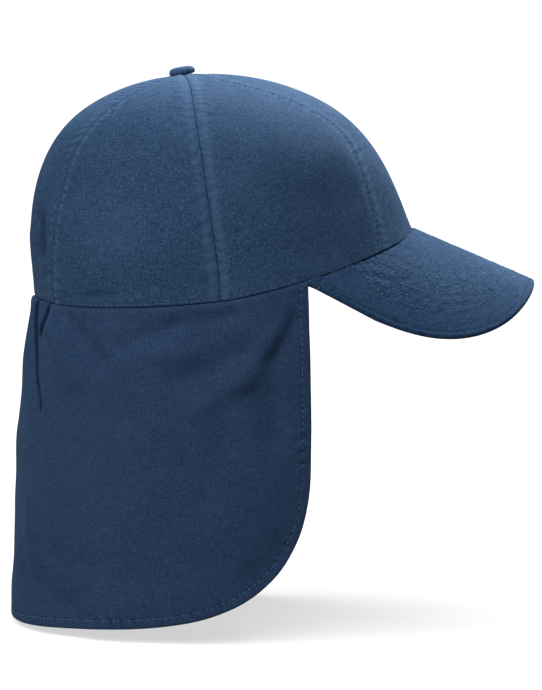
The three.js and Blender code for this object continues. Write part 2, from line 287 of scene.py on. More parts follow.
# Twill: diagonal ribs, each broken by the threads that cross it, all a little uneven.
# Height is the sine of the place along the slant plus a weaker sine across the threads.
def makeTwill():
    group, given, put = newGroup(
        "twill weave", {"Place": "Vector", "Rib Spacing": "Float", "Unevenness": "Float"},
        {"Height": "Float", "Rib": "Float"})
    split = group.nodes.new("ShaderNodeSeparateXYZ")
    group.links.new(given["Place"], split.inputs[0])
    wander = noiseNode(group, given["Place"], weave["wanderScale"], 3.0)
    wander = times(group, times(group, wander, given["Unevenness"]), weave["wander"])
    turn = mathNode(group, "DIVIDE", math.tau, given["Rib Spacing"])
    slant = plus(group, split.outputs[0], times(group, split.outputs[1], weave["ribSlant"]))
    rib = mathNode(group, "SINE", plus(group, times(group, slant, turn), wander))
    cross = mathNode(group, "SUBTRACT", times(group, split.outputs[1], weave["crossSlant"]), split.outputs[0])
    threads = mathNode(group, "SINE", times(group, cross, turn))
    fuzz = noiseNode(group, given["Place"], weave["fuzzScale"], 2.0)
    height = plus(group, rib, times(group, threads, weave["crossing"]))
    height = plus(group, height, times(group, fuzz, weave["fuzz"]))
    group.links.new(height, put["Height"])
    group.links.new(spreadNode(group, rib, -1.0, 1.0), put["Rib"])
    return group


# noises of the yarn: scales, and how far from the middle value each starts to show and shows in full
yarn = dict(fleckScale=1250.0, cloudScale=22.0, warp=(1600.0, 190.0, 1.0), weft=(150.0, 1500.0, 1.0),
            fleckFrom=0.02, fleckTo=0.2, streakTo=0.18, streakShare=0.4, cloudTo=0.25)


# Dyed yarn: the base colour, lighter and darker flecks a millimetre long, streaks along both
# threads, and broad clouds where the brushed nap lies differently
def makeYarnColour():
    group, given, put = newGroup(
        "dyed yarn", {"Thread Place": "Vector", "Body Place": "Vector", "Base": "Color", "Pale": "Color",
                      "Deep": "Color", "Fleck": "Float", "Cloud": "Float"}, {"Color": "Color"})
    threads = (stretched(group, given["Thread Place"], yarn[way]) for way in ("warp", "weft"))
    streak = times(group, plus(group, *(noiseNode(group, thread, 1.0) for thread in threads)), 0.5)
    fleck = noiseNode(group, given["Body Place"], yarn["fleckScale"], 3.0, 0.8)
    cloud = noiseNode(group, given["Body Place"], yarn["cloudScale"], 3.0, 0.55)
    color = given["Base"]
    for noise, start, full, strength in (
            (fleck, yarn["fleckFrom"], yarn["fleckTo"], given["Fleck"]),
            (streak, 0, yarn["streakTo"], times(group, given["Fleck"], yarn["streakShare"])),
            (cloud, 0, yarn["cloudTo"], given["Cloud"])):
        for way, tone in ((1, "Pale"), (-1, "Deep")):
            share = times(group, spreadNode(group, noise, 0.5 + way * start, 0.5 + way * full), strength)
            color = mixColors(group, share, color, given[tone])
    group.links.new(color, put["Color"])
    return group


# Painted highlight on ridges and painted shade in grooves: the piece's ridge attribute lightens what stands
# proud at seams, puckers and hems as a painted highlight, and darkens what lies deep as painted shade
def makePaintedSeamLight():
    group, given, put = newGroup(
        "rubbed seams", {"Color": "Color", "Ridge": "Float", "Rubbed": "Color", "Shaded": "Color",
                         "Rubbing": "Float", "Shading": "Float"}, {"Color": "Color"})
    rubbed = times(group, spreadNode(group, given["Ridge"], 0.05, 1.0), given["Rubbing"])
    shaded = times(group, spreadNode(group, given["Ridge"], -0.05, -1.0), given["Shading"])
    color = mixColors(group, rubbed, given["Color"], given["Rubbed"])
    color = mixColors(group, shaded, color, given["Shaded"])
    group.links.new(color, put["Color"])
    return group


twillGroup = makeTwill()
yarnGroup = makeYarnColour()
seamLightGroup = makePaintedSeamLight()


# a group in a material: ribSpacing=... feeds the input named Rib Spacing
def placeGroup(tree, group, **sources):
    node = tree.nodes.new("ShaderNodeGroup")
    node.node_tree = group
    names = ("".join(" " + c if c.isupper() else c for c in key).title() for key in sources)
    return feed(tree, node, **dict(zip(names, sources.values()))).outputs


def startMaterial(name):
    material = bpy.data.materials.new(name)
    material.use_nodes = True
    tree = material.node_tree
    body = tree.nodes.new("ShaderNodeTexCoord").outputs["Object"]
    return material, tree, tree.nodes["Principled BSDF"], body


def addBump(tree, height, distance):
    bump = tree.nodes.new("ShaderNodeBump")
    feed(tree, bump, Height=height, Distance=distance, Strength=1.0)
    tree.links.new(bump.outputs[0], tree.nodes["Principled BSDF"].inputs["Normal"])


# cotton twill: yarn colours, painted highlight and painted shade at seams, a twill bump, and a soft sheen on
# a rough surface
def makeCotton(name, look):
    material, tree, shader, body = startMaterial(name)
    uv = tree.nodes.new("ShaderNodeUVMap")
    uv.uv_map = "cloth"
    ridge = tree.nodes.new("ShaderNodeAttribute")
    ridge.attribute_name = "ridge"
    dyed = placeGroup(tree, yarnGroup, threadPlace=uv.outputs[0], bodyPlace=body,
                      **{k: look[k] for k in ("base", "pale", "deep", "fleck", "cloud")})
    color = placeGroup(tree, seamLightGroup, color=dyed["Color"], ridge=ridge.outputs["Fac"],
                       **{k: look[k] for k in ("rubbed", "shaded", "rubbing", "shading")})["Color"]
    twill = placeGroup(tree, twillGroup, place=uv.outputs[0], ribSpacing=look["ribSpacing"], unevenness=0.5)
    color = mixColors(tree, times(tree, twill["Rib"], look["ribShade"]), color, look["deep"])
    low, high = look["roughness"] - look["roughnessSpread"], look["roughness"] + look["roughnessSpread"]
    rough = spreadNode(tree, noiseNode(tree, body, 300.0), 0.3, 0.7, low, high)
    addBump(tree, twill["Height"], look["bump"])
    feed(tree, shader, **look["surface"], **{"Base Color": color, "Roughness": rough})
    return material


# spun sewing thread: twisted plies from a slanted sine on its own UV, with painted shade in the grooves
# between the plies
def makeThread(name, look):
    material, tree, shader, body = startMaterial(name)
    uv = tree.nodes.new("ShaderNodeUVMap")
    uv.uv_map = "cloth"
    split = tree.nodes.new("ShaderNodeSeparateXYZ")
    tree.links.new(uv.outputs[0], split.inputs[0])
    slant = plus(tree, times(tree, split.outputs[0], look["twist"]), split.outputs[1])
    ply = mathNode(tree, "SINE", times(tree, slant, math.tau))
    mottle = noiseNode(tree, body, 700.0, 2.0)
    color = mixColors(tree, spreadNode(tree, mottle, 0.3, 0.7), look["deep"], look["pale"])
    # painted shade: darker in the grooves between the plies
    color = mixColors(tree, spreadNode(tree, ply, 0.2, -1.0, 0.0, 0.5), color, look["deep"])
    addBump(tree, ply, look["bump"])
    feed(tree, shader, **look["surface"], **{"Base Color": color})
    return material


# the two ridge colours are painted: the pale one a painted highlight on what stands proud, the near-black one
# painted shade in grooves, dents and creases
crownCloth = dict(base=(0.031, 0.068, 0.143, 1), pale=(0.09, 0.183, 0.31, 1),
                  deep=(0.008, 0.02, 0.048, 1), rubbed=(0.07, 0.14, 0.26, 1),
                  shaded=(0.003, 0.008, 0.02, 1), fleck=0.9, cloud=0.12,
                  rubbing=0.5, shading=0.8, ribSpacing=0.9 * mm, ribShade=0.07, bump=0.05 * mm,
                  roughness=0.75, roughnessSpread=0.06,
                  surface={"Specular IOR Level": 0.02, "Specular Tint": (0.5, 0.75, 1.0, 1),
                           "Sheen Weight": 0.05, "Sheen Roughness": 0.35, "Sheen Tint": (0.4, 0.7, 1.0, 1)})
# peak, flap and button are the same navy twill as the crown: the peak's and flap's darker colours are painted
# shade and the button's lighter colour painted light
peakCloth = dict(crownCloth, base=(0.0185, 0.047, 0.104, 1), pale=(0.054, 0.126, 0.246, 1),
                 deep=(0.006, 0.016, 0.04, 1), fleck=1.0)
flapCloth = dict(crownCloth, base=(0.0245, 0.0495, 0.108, 1), pale=(0.06, 0.112, 0.212, 1),
                 deep=(0.008, 0.019, 0.047, 1), fleck=0.7)
buttonCloth = dict(crownCloth, base=(0.05, 0.108, 0.21, 1), rubbing=0.7)
# the thread's colours are lighter than the cloth's: a painted highlight, so the stitches show as light specks
threadLook = dict(pale=(0.15, 0.265, 0.415, 1), deep=(0.055, 0.112, 0.208, 1), twist=900.0, bump=0.05 * mm,
                  surface={"Roughness": 0.7, "Specular IOR Level": 0.04})

crownMaterial = makeCotton("crown twill", crownCloth)
peakMaterial = makeCotton("peak twill", peakCloth)
flapMaterial = makeCotton("flap twill", flapCloth)
buttonMaterial = makeCotton("button twill", buttonCloth)
threadMaterial = makeThread("navy sewing thread", threadLook)
print("materials made")


# a stitch of the cap; its sides are an even number
stitch = dict(length=2.4 * mm, gap=0.75 * mm, radius=0.17 * mm, lift=0.22 * mm, sink=0.45,
              endThickness=0.35, rings=6, sides=6)


# Each stitch is a thin round thread over a stretch of a sewn line: its middle stands a little proud
# of the cloth as half a sine and its two ends dip into it.
def stitchLine(path, normals, stitch):
    length = stitch["length"]
    along = runningLength(path, 0)
    count = int(along[-1] / (length + stitch["gap"]))
    if count < 1:
        return np.zeros((0, 3)), np.zeros((0, 4), int), np.zeros((0, 2))
    starts = (np.arange(count) + 0.5) * along[-1] / count - length / 2
    share = np.linspace(0, 1, stitch["rings"])
    places = starts[:, None] + share * length
    middle = np.stack([np.interp(places, along, path[:, k]) for k in range(3)], -1)
    out = unit(np.stack([np.interp(places, along, normals[:, k]) for k in range(3)], -1))
    way = unit(np.gradient(middle, axis=1))
    side = unit(np.cross(way, out))
    arch = np.sin(math.pi * share)
    middle = middle + out * ((arch - stitch["sink"]) * stitch["lift"])[None, :, None]
    thin = stitch["radius"] * mix(stitch["endThickness"], 1, arch**0.5)
    turn = np.arange(stitch["sides"]) / stitch["sides"] * math.tau
    ring = (side[:, :, None] * np.cos(turn)[:, None] + out[:, :, None] * np.sin(turn)[:, None])
    points = middle[:, :, None] + ring * thin[None, :, None, None]
    rings, sides = stitch["rings"], stitch["sides"]
    index = np.arange(count * rings * sides).reshape(count, rings, sides)
    nextSide = np.roll(index, -1, axis=2)
    tube = np.stack([index[:, :-1], index[:, 1:], nextSide[:, 1:], nextSide[:, :-1]], -1).reshape(-1, 4)
    # the two ends are closed by quads that all start at the ring's first point
    fans = [[0, k, k + 1, k + 2] for k in range(1, sides - 2, 2)]
    caps = [index[:, 0][:, fan] for fan in fans] + [index[:, -1][:, fan[::-1]] for fan in fans]
    uv = np.stack(np.broadcast_arrays(places[:, :, None], (turn / math.tau)[None, None]), -1)
    return points.reshape(-1, 3), np.concatenate([tube, *caps]), uv.reshape(-1, 2)


def stitchPiece(name, lines, stitch=stitch):
    points, quads, uvs, before = [], [], [], 0
    for line in lines:
        p, q, uv = stitchLine(*line, stitch)
        points.append(p)
        quads.append(q + before)
        uvs.append(uv)
        before += len(p)
    piece = makeMesh(name, np.concatenate(points), np.concatenate(quads), uv=np.concatenate(uvs))
    finishPiece(piece, threadMaterial)
    return piece


# the line on a grid where a measure has a given value: every grid edge whose two ends lie on both
# sides of the value gives a point and a normal, put in the order of a second measure
def lineWhere(points, normals, measure, value, order):
    found = []
    for axis in (0, 1):
        grids = [np.moveaxis(a, axis, 0) for a in (points, normals, order[..., None], measure)]
        low, high = grids[3][:-1], grids[3][1:]
        crossed = (low < value) != (high < value)
        s = ((value - low[crossed]) / (high[crossed] - low[crossed]))[:, None]
        found.append([mix(g[:-1][crossed], g[1:][crossed], s) for g in grids[:3]])
    path, out, place = (np.concatenate(parts) for parts in zip(*found))
    sorting = np.argsort(place[:, 0])
    return path[sorting], out[sorting]


# crown
crown = dict(width=162 * mm, egg=0.05, height=122.5 * mm, buttonBack=22 * mm, topTilt=5.0, wall=1.2 * mm,
             puff=0.8 * mm, puffSquareness=5, topHole=2.4 * mm, columns=104, rows=150, seamCrowding=0.62,
             rimCrowding=1.35, reliefFrom=0.02, reliefTo=0.12, rimTurn=0.06, sway=0.35 * mm,
             swayLength=45 * mm, buttonHold=0.05, foldShade=5.5 * mm, reliefShade=0.35 * mm)
meridians = dict(
    angle=[0, 30, 60, 90, 135, 180],
    rise=[1.0, 0.81, 0.47, 0.165, 0.045, 0.125],
    lean=[-25, -20, -10, 0, 4, 5.5],
    rimPull=[0.33, 0.45, 0.52, 0.55, 0.58, 0.6],
    shoulder=[0.65, 0.63, 0.67, 0.73, 0.77, 0.81],
    topPull=[0.5, 0.44, 0.36, 0.3, 0.24, 0.18])
seamAngles = dict(
    share=[0, 0.2, 0.4, 0.6, 0.8, 1],
    front=[34, 33.5, 31, 41, 61, 70],
    side=[90.5, 93, 95, 96, 95.5, 96],
    back=[151, 149, 147.5, 141.5, 131, 128])
# round the head by the left: each panel lies between its own seam and the next
seams = [("front", -1), ("front", 1), ("side", 1), ("back", 1), ("back", -1), ("side", -1)]
panelNames = ["front_panel", "side_front_panel_left", "side_back_panel_left", "back_panel",
              "side_back_panel_right", "side_front_panel_right"]
panels = [dict(name=name, start=seams[k], end=seams[(k + 1) % len(seams)], seed=11 + k)
          for k, name in enumerate(panelNames)]
# dents of the crown: from an angle and height to another, half width and depth, lengths as shares
# of the crown's height
crownFolds = dict(
    angle=[-161, -172, 162, 176, -152, -78, -74, 150, 76],
    at=[0.37, 0.3, 0.34, 0.28, 0.56, 0.62, 0.2, 0.52, 0.58],
    toAngle=[-160, -168, 159, 174, -104, -42, -52, 106, 46],
    toAt=[0.22, 0.12, 0.2, 0.14, 0.52, 0.66, 0.24, 0.54, 0.64],
    half=[0.056, 0.045, 0.05, 0.04, 0.105, 0.15, 0.1, 0.11, 0.14],
    depth=[-0.032, 0.006, -0.022, -0.012, -0.012, 0.016, -0.006, -0.01, 0.012])
# how each seam is sewn: valley at the join or, below 0, a raised edge, with its half width and the
# share of it left low down; the fold that its turned cloth raises on the panel behind it; stitched
# lines by distance from the join on that panel and across it; puckers beside them
seamSewing = dict(
    front=dict(valley=-0.34 * mm, half=1.0 * mm, low=0.1, fold=0.25 * mm, stitches=[1.3 * mm],
               across=[1.3 * mm], pucker=0.12 * mm),
    side=dict(valley=0.3 * mm, half=0.26 * mm, low=1, fold=0.3 * mm, stitches=[3.8 * mm], across=[],
              pucker=0.14 * mm),
    back=dict(valley=0.22 * mm, half=0.26 * mm, low=1, fold=0.2 * mm, stitches=[3.6 * mm], across=[],
              pucker=0.22 * mm))
sewing = dict(lowTo=50 * mm, highFrom=95 * mm, foldAt=3.4 * mm, foldHalf=2.6 * mm, foldAcross=0.7,
              groove=0.06 * mm, grooveHalf=0.5 * mm, puckerLength=5.5 * mm, puckerReach=9 * mm,
              puckerSlant=0.35, puckerWander=2.6, puckerStart=1.2 * mm)
# folded lower edge: how far it is rounded under in front and beside the peak, its stitched line, its
# puckers, and level creases above it at the back
rimEdge = dict(round=0.45 * mm, roundAside=0.22 * mm, roundHalf=0.4 * mm, stitchAt=1.4 * mm, groove=0.12 * mm,
               pucker=0.07 * mm, puckerReach=6 * mm, crease=0.1 * mm, creaseLength=8 * mm,
               creaseStretch=0.16, creaseReach=22 * mm, asideFrom=56, asideTo=63, backFrom=85, backTo=120)
crownStitch = dict(stitch, radius=0.2 * mm, lift=0.34 * mm)
topPoint = np.array([-crown["buttonBack"], 0, crown["height"]])
rimHalfWidth = crown["width"] / 2
peakEndAngle = 65.3


def meridian(column, angle):
    return columnAt(meridians, "angle", column, angleAway(angle))


# rim of the crown: an oval a little wider at the back, raised to the front as the table says
def rimPoint(angle):
    a = np.radians(angle)
    return np.stack([rimHalfLength * np.cos(a), rimHalfWidth * np.sin(a) * (1 - crown["egg"] * np.cos(a)),
                     rimFrontRise * meridian("rise", angle)], -1)


# level direction straight out of the rim's oval
def outward(angle):
    a = np.radians(angle)
    return unit(np.stack([np.cos(a) / rimHalfLength, np.sin(a) / rimHalfWidth, 0 * a], -1))


# dome: a Bezier curve of five points, from the rim along its lean, over the shoulder and nearly
# level into the button
def domePoint(angle, t):
    angle, t = np.broadcast_arrays(np.asarray(angle, float), np.asarray(t, float))
    rim = rimPoint(angle)
    lean = np.radians(meridian("lean", angle))[..., None]
    pull = (crown["height"] * meridian("rimPull", angle))[..., None]
    upward = np.array([0, 0, 1.0])
    start = rim + pull * (np.sin(lean) * outward(angle) + np.cos(lean) * upward)
    corner = np.concatenate([rim[..., :2], np.full(rim.shape[:-1] + (1,), crown["height"])], -1)
    middle = mix((rim + topPoint) / 2, corner, meridian("shoulder", angle)[..., None])
    away = rim - topPoint
    away[..., 2] = 0
    away = unit(away)
    away[..., 2] = math.tan(math.radians(crown["topTilt"])) * away[..., 0]
    end = topPoint + away * (rimHalfLength * meridian("topPull", angle))[..., None]
    t = t[..., None]
    s = 1 - t
    return s**4 * rim + 4 * t * s**3 * start + 6 * t**2 * s**2 * middle + 4 * t**3 * s * end + t**4 * topPoint


# relief of a table of folds: each is a soft ridge or valley round the line between its two ends, its
# depth times e to the minus square of the distance over its half width
def foldRelief(folds, angle, at, size):
    perDegree = math.radians(1) * rimHalfLength
    relief = 0
    for a, y, toA, toY, half, depth in zip(*folds.values()):
        alongX, alongY = wrapAngle(toA - a) * perDegree, (toY - y) * size
        hereX, hereY = wrapAngle(angle - a) * perDegree, (at - y) * size
        share = np.clip((hereX * alongX + hereY * alongY) / (alongX**2 + alongY**2), 0, 1)
        distance = np.hypot(hereX - share * alongX, hereY - share * alongY) / (half * size)
        relief = relief + depth * size * np.exp(-distance**2)
    return relief


def seamAngle(seam, t):
    return seam[1] * columnAt(seamAngles, "share", seam[0], t)


# share of each meridian at which it comes within the hole under the button, by halving
def holeShare(angles):
    low, high = np.full(len(angles), 0.5), np.ones(len(angles))
    for _ in range(40):
        middle = (low + high) / 2
        point = domePoint(angles, middle)
        outside = np.hypot(point[:, 0] - topPoint[0], point[:, 1]) > crown["topHole"]
        low, high = np.where(outside, middle, low), np.where(outside, high, middle)
    return low


# puckers beside a sewn line: waves along it, slanted and uneven, that die away from it
def puckers(distance, along, height, seed, reach=None):
    reach = reach or sewing["puckerReach"]
    wander = softNoise(along, distance, 24 * mm, seed) * sewing["puckerWander"]
    strength = 0.6 + 0.4 * softNoise(along, 0 * along, 30 * mm, seed + 1)
    wave = np.sin(math.tau * (along + sewing["puckerSlant"] * distance) / sewing["puckerLength"] + wander)
    start = smoothStep(distance, 0, sewing["puckerStart"])
    return height * strength * wave * bell(distance, 0, reach) * start


# cloth beside one seam: a valley at the join, a fold over the turned cloth, a groove under each
# stitched line and puckers
def seamRelief(distance, along, sewn, folded, seed):
    high = mix(sewn["low"], 1, smoothStep(along, sewing["lowTo"], sewing["highFrom"]))
    relief = -sewn["valley"] * high * bell(distance, 0, sewn["half"])
    height = sewn["fold"] * (1 if folded else sewing["foldAcross"])
    relief = relief + height * bell(distance, sewing["foldAt"], sewing["foldHalf"])
    for place in sewn["stitches" if folded else "across"]:
        relief = relief - sewing["groove"] * bell(distance, place, sewing["grooveHalf"])
    return relief + puckers(distance, along, sewn["pucker"], seed)


crownStitches = []
rimStitches = []


# one panel: the dome between two seams, with its puff, folds, seams and folded edge added along
# the dome's normal
def makeCrownPanel(panel):
    across = crowdedShares(crown["columns"], crown["seamCrowding"])[:, None]
    rise = np.linspace(0, 1, crown["rows"] + 1)[None] ** crown["rimCrowding"]

    def angleAt(t):
        start = seamAngle(panel["start"], t)
        return start + (seamAngle(panel["end"], t) - start) % 360 * across

    t = rise * holeShare(angleAt(np.ones(1))[:, 0])[:, None]
    angle = angleAt(t)
    dome = domePoint(angle, t)
    normal = gridNormal(dome)
    normal[..., 2] *= smoothStep(t, 0, crown["rimTurn"])
    normal = unit(normal)
    fromStart = runningLength(dome, 0)
    toEnd = fromStart[-1:] - fromStart
    up = runningLength(dome, 1)
    rimFade = smoothStep(t, crown["reliefFrom"], crown["reliefTo"]) * (1 - t)
    offSeam = 1 - np.abs(2 * across - 1) ** crown["puffSquareness"]
    folds = foldRelief(crownFolds, angle, dome[..., 2] / crown["height"], crown["height"]) * rimFade
    sway = crown["sway"] * softNoise(fromStart, up, crown["swayLength"], panel["seed"])
    broad = folds + (crown["puff"] + sway) * offSeam * rimFade
    fine = seamRelief(fromStart, up, seamSewing[panel["start"][0]], panel["start"][1] < 0, panel["seed"] + 20)
    fine = fine + seamRelief(toEnd, up, seamSewing[panel["end"][0]], panel["end"][1] > 0, panel["seed"] + 40)
    away = angleAway(angle)
    aside = smoothStep(away, rimEdge["asideFrom"], rimEdge["asideTo"])
    edge = -mix(rimEdge["round"], rimEdge["roundAside"], aside) * bell(up, 0, rimEdge["roundHalf"])
    stitched = bell(up, rimEdge["stitchAt"], sewing["grooveHalf"])
    edge = edge - aside * rimEdge["groove"] * stitched
    edge = edge + puckers(up, fromStart, rimEdge["pucker"], panel["seed"] + 60, rimEdge["puckerReach"])
    crease = softNoise(fromStart * rimEdge["creaseStretch"], up, rimEdge["creaseLength"], panel["seed"] + 80)
    crease = crease * bell(up, 0, rimEdge["creaseReach"]) * smoothStep(up, 1 * mm, 5 * mm)
    edge = edge + rimEdge["crease"] * crease * smoothStep(away, rimEdge["backFrom"], rimEdge["backTo"])
    held = smoothStep(1 - t, 0.0, crown["buttonHold"])   # everything is held down under the button
    fine = (fine + edge) * held
    outer = dome + normal * (broad + fine)[..., None]
    inner = dome + normal * (broad - crown["wall"])[..., None]
    uv = np.stack([fromStart - fromStart[-1:] / 2, up], -1)
    # ridge paints a highlight where the cloth stands proud, such as the raised front seam and puckers, and
    # paints shade in grooves, at the rolled lower edge and in the dents
    ridge = np.clip(fine / crown["reliefShade"] + np.minimum(folds, 0) / crown["foldShade"], -1, 1)
    name = panel["name"]
    piece = clothPiece(name + "_cloth", outer, inner, uv, ridge, crownMaterial, "crown_cloth", name)
    # the pressed edges of the front seam stay crisp: smoothed ones would draw a broader dark line
    smooth = np.ones(len(piece.data.polygons), bool)
    edgeFaces = 2 * crown["columns"] * crown["rows"]
    for side in ("start", "end"):
        if panel[side][0] == "front":
            smooth[edgeFaces:edgeFaces + crown["rows"]] = False
        edgeFaces += crown["rows"]
    piece.data.polygons.foreach_set("use_smooth", smooth)
    faceNormal = gridNormal(outer)
    for (seam, way), measure, foldedWay in ((panel["start"], fromStart, -1), (panel["end"], toEnd, 1)):
        for place in seamSewing[seam]["stitches" if way == foldedWay else "across"]:
            crownStitches.append(lineWhere(outer, faceNormal, measure, place, up))
    beside = away[:, 0] > peakEndAngle
    if beside.any():
        grids = (outer, faceNormal, up, across + 0 * up)
        outer, faceNormal, up, order = (g[beside] for g in grids)
        rimStitches.append(lineWhere(outer, faceNormal, up, rimEdge["stitchAt"], order))


for panel in panels:
    makeCrownPanel(panel)
print("crown panels made")
stitchPiece("crown_seam_stitches", crownStitches, crownStitch)
stitchPiece("rim_stitches", rimStitches)
print("crown stitches made")


# peak
peak = dict(roundLength=87.6 * mm, roundness=2.35, slope=23.3, arch=51.5 * mm, thickness=3 * mm,
            endAngle=peakEndAngle, middleRise=1.9 * mm, riseAngle=32, columns=340, rows=118,
            edgeCrowding=0.8, rowCrowding=1.5, edgeRound=1.4 * mm, edgeWall=0.2 * mm, seatSink=0.4 * mm)
# rows of stitching: the first one's distance from the front edge, how much nearer the edge they all
# are at the front, and how far and from where to where they turn in to the crown at the sides
peakRows = dict(spacing=5.8 * mm, count=6, first=16.4 * mm, frontShift=4.0 * mm, shiftFrom=5, shiftTo=32,
                turn=17 * mm, turnFrom=84 * mm, turnTo=67 * mm, groove=0.11 * mm, grooveHalf=0.6 * mm,
                pucker=0.13 * mm, puckerLengths=[2.7 * mm, 5 * mm])
# unevenness of the cover and the line drawn in along the sewn edge
peakCover = dict(sway=0.06 * mm, swayLength=9 * mm, drawn=0.12 * mm, drawnAt=3.2 * mm, drawnHalf=0.9 * mm,
                 reliefShade=0.45 * mm)
peakStitch = dict(stitch, radius=0.23 * mm, lift=0.4 * mm, gap=0.4 * mm)


# top face of the peak: straight lines from the rim to an outer edge that is a superellipse from
# above and falls away to both sides as the square of its distance from the middle
def peakFace(angle, share):
    angle, share = np.broadcast_arrays(np.asarray(angle, float), np.asarray(share, float))
    rim = rimPoint(angle)
    turn = np.radians(90 * np.abs(angle) / peak["endAngle"])
    power = 2 / peak["roundness"]
    x = peakTip - peak["roundLength"] * (1 - np.maximum(np.cos(turn), 0) ** power)
    sideShare = np.sin(turn) ** power
    y = np.sign(angle) * peakHalfWidth * sideShare
    slope = math.tan(math.radians(peak["slope"]))
    z = rimFrontRise - slope * (x - rimHalfLength) - peak["arch"] * sideShare**2
    face = mix(rim, np.stack([x, y, z], -1), share[..., None])
    face[..., 2] += peak["middleRise"] * np.maximum(1 - (angle / peak["riseAngle"]) ** 2, 0) ** 2
    return face


# the peak: its face with grooves, puckers and the drawn line added along the normal, the edge
# rounded over as a quarter circle, and the seat tucked in under the crown
def makePeak():
    columnShares = crowdedShares(peak["columns"], peak["edgeCrowding"])
    angle = mix(-peak["endAngle"], peak["endAngle"], columnShares)[:, None]
    share = 1 - (1 - np.linspace(0, 1, peak["rows"] + 1)) ** peak["rowCrowding"]
    face = peakFace(angle, share[None])
    normal = -gridNormal(face)
    sideways = np.linspace(-peak["endAngle"], peak["endAngle"], 401)
    frontEdge = peakFace(sideways, 1.0)
    fromFront, alongFront = distanceToLine(face, frontEdge)
    sideShares = np.linspace(0, 1, 21)
    outline = np.concatenate([peakFace(-peak["endAngle"], sideShares)[:-1], frontEdge,
                              peakFace(peak["endAngle"], sideShares)[::-1][1:]])
    fromEdge, _ = distanceToLine(face, outline)
    toSide = smoothStep(np.abs(angle), peakRows["shiftFrom"], peakRows["shiftTo"])
    toFront = smoothStep(face[..., 0], peakRows["turnTo"], peakRows["turnFrom"])
    shift = peakRows["frontShift"] * (1 - toSide) - peakRows["turn"] * (1 - toFront)
    rowPlace = fromFront + shift - peakRows["first"]
    rowNumber = rowPlace / peakRows["spacing"]
    lastRow = peakRows["count"] - 1
    toRow = (rowNumber - np.clip(np.round(rowNumber), 0, lastRow)) * peakRows["spacing"]
    inRows = smoothStep(rowPlace, -4 * mm, 0) * (1 - smoothStep(rowNumber, lastRow, lastRow + 1))
    length = runningLength(face, 1)
    fine = -peakRows["groove"] * bell(toRow, 0, peakRows["grooveHalf"])
    small, large = peakRows["puckerLengths"]
    puckerWave = (0.7 * softNoise(alongFront, fromFront * 0.7, small, 5)
                  + 0.4 * softNoise(alongFront * 1.3, fromFront, large, 6))
    fine = fine + peakRows["pucker"] * puckerWave * inRows
    fine = fine + peakCover["sway"] * softNoise(alongFront, fromFront, peakCover["swayLength"], 8)
    drawn = bell(fromEdge, peakCover["drawnAt"], peakCover["drawnHalf"])
    fine = fine - peakCover["drawn"] * drawn
    fine = fine * smoothStep(fromEdge, 0, 2 * mm) * smoothStep(length, 0, 1.5 * mm)
    # the sunk seat also takes painted shade through the ridge attribute, a dark line under the crown's edge
    seated = peak["seatSink"] * (1 - smoothStep(np.abs(angle), rimEdge["asideFrom"], rimEdge["asideTo"]))
    fine = fine - seated * bell(length, 0, 0.7 * mm)
    inset = np.clip(peak["edgeRound"] - fromEdge, 0, peak["edgeRound"])
    drop = peak["edgeRound"] - np.sqrt(np.maximum(peak["edgeRound"] ** 2 - inset**2, 0))
    drop = drop * smoothStep(length, 1 * mm, 8 * mm)   # square where it is sewn to the crown
    half = peak["thickness"] / 2
    rounded = np.maximum(half - drop, peak["edgeWall"] / 2)
    middle = face - normal * half
    top = middle + normal * (rounded + fine)[..., None]
    under = middle - normal * (rounded + 0.6 * fine)[..., None]
    seat = outward(angle[:, 0]) * crown["wall"]
    tucked = top[:, 0] - seat, under[:, 0] - seat   # sewn in under the crown's edge
    top = np.concatenate([tucked[0][:, None], top], 1)
    under = np.concatenate([tucked[1][:, None], under], 1)
    # flat cloth: the length along the peak's middle by the length out from the crown
    across = runningLength(face, 0)[:, peak["rows"] // 2 + 1]
    uv = np.stack(np.broadcast_arrays(across[:, None], np.insert(length, 0, 0, 1)), -1)
    # ridge paints shade into the row grooves, the drawn line and the seat, and a highlight on the puckers
    ridge = np.insert(np.clip(fine / peakCover["reliefShade"], -1, 1), 0, 0, 1)
    # columns run the other way round, so that the top faces out
    grids = (grid[::-1] for grid in (top, under, uv, ridge))
    clothPiece("peak_cloth", *grids, peakMaterial, "peak_cloth", "peak")
    lines = []
    faceNormal = -gridNormal(top)
    # from the forehead forward, the rows run from one side to the other as the hand of a clock
    order = np.arctan2(face[..., 1], face[..., 0] - 62 * mm)
    for row in range(peakRows["count"]):
        lines.append(lineWhere(top[:, 1:], faceNormal[:, 1:], rowNumber, row + 1e-4, order))
    stitchPiece("peak_stitches", lines, peakStitch)


makePeak()
print("peak made")


# neck flap
flap = dict(frontAngle=64.0, hemRise=0.075, cornerWidth=104 * mm, cornerHeight=97 * mm, cornerRoundness=3,
            wall=1.1 * mm, tuck=9 * mm, tuckClearance=0.45 * mm, backFlare=15.4 * mm, sideFlare=9 * mm,
            backFrom=110, flareCurve=0.4, foldFade=6 * mm, columnSpacing=1.3 * mm, steepest=4.0, rows=118,
            rowCrowding=1.12, tuckRows=6, topFill=1.25 * mm, foldGain=0.95, edgeStill=9 * mm, curl=3 * mm,
            curlHeight=6 * mm, sway=0.3 * mm, swayLength=26 * mm, broadSway=0.5 * mm, broadLength=60 * mm,
            slitShade=1.0 * mm, reliefShade=0.3 * mm)
hem = dict(width=4.5 * mm, roll=0.3 * mm, thickness=0.5 * mm, step=0.1 * mm, groove=0.16 * mm,
           pucker=0.12 * mm, puckerLength=6.5 * mm, puckerReach=5 * mm)
# gathers where the flap is eased into the crown at the back
gathers = dict(height=0.09 * mm, length=6 * mm, stretch=0.12, reach=16 * mm, aside=0.25)
# narrow creases under the crown's edge at the back; the ridge attribute also paints shade into them
flapSlits = dict(
    angle=[-163.5, -153.5],
    at=[0.0, 0.005],
    toAngle=[-155.4, -156.5],
    toAt=[0.3, 0.075],
    half=[0.015, 0.012],
    depth=[-0.026, -0.016])
